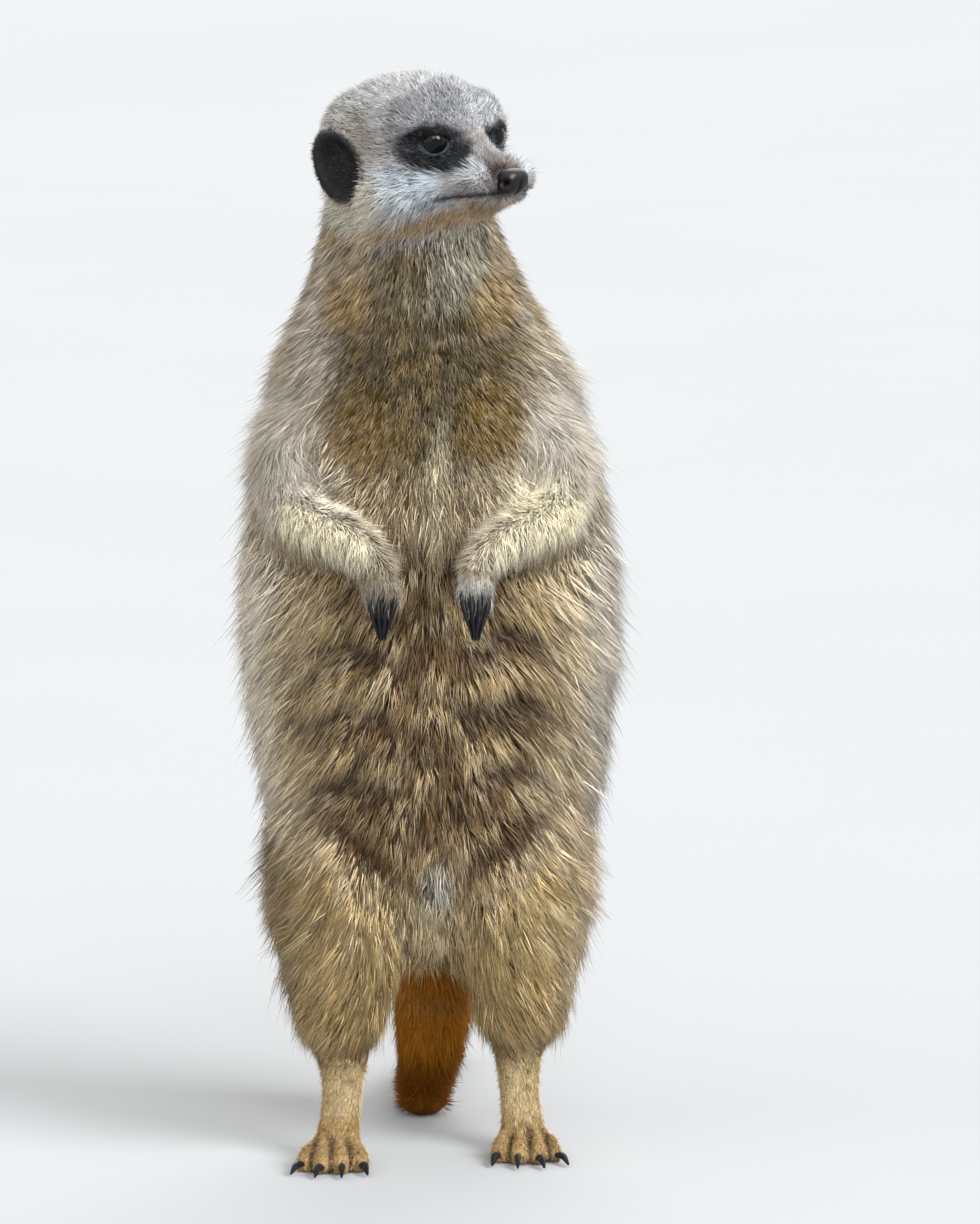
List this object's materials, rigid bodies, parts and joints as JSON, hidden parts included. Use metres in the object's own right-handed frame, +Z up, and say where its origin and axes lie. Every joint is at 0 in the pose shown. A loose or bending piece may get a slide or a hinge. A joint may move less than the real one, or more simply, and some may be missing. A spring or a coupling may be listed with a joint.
{
  "type": "meerkat",
  "caption": "Life-size meerkat standing upright on its hind feet and tail, forepaws held at the chest, head turned to its left.",
  "frame": {"origin": "centre of the bounding box on the plane the animal stands on", "axes": "+Z up, -Y where the chest faces, +X the animal's left, where the head is turned"},
  "size_m": [0.1056, 0.1824, 0.3114],
  "materials": {
    "coat": "long grizzled fur, matte",
    "pale_coat": "short cream fur, matte",
    "head_coat": "short grey-white fur, matte",
    "rust_coat": "short rusty fur, matte",
    "dark_coat": "short black fur, matte",
    "nose_skin": "moist, finely grained",
    "horn": "smooth horn, satin",
    "eye": "wet and glossy"
  },
  "bodies": {
    "root": {"head": "head_coat", "nose": "nose_skin", "ear_left": "dark_coat", "ear_right": "dark_coat", "eye_left": "eye", "eye_right": "eye", "neck": "coat", "trunk": "coat", "foreleg_left": "pale_coat", "foreleg_right": "pale_coat", "forepaw_left": "pale_coat", "forepaw_right": "pale_coat", "thigh_left": "coat", "thigh_right": "coat", "shank_left": "coat", "shank_right": "coat", "hindfoot_left": "pale_coat", "hindfoot_right": "pale_coat", "tail_base": "rust_coat", "tail_middle": "rust_coat", "tail_tip": "dark_coat", "foreclaw_left_1": "horn", "hindclaw_left_1": "horn", "foreclaw_left_2": "horn", "hindclaw_left_2": "horn", "foreclaw_left_3": "horn", "hindclaw_left_3": "horn", "foreclaw_left_4": "horn", "hindclaw_left_4": "horn", "foreclaw_right_1": "horn", "hindclaw_right_1": "horn", "foreclaw_right_2": "horn", "hindclaw_right_2": "horn", "foreclaw_right_3": "horn", "hindclaw_right_3": "horn", "foreclaw_right_4": "horn", "hindclaw_right_4": "horn"}
  },
  "joints": []
}
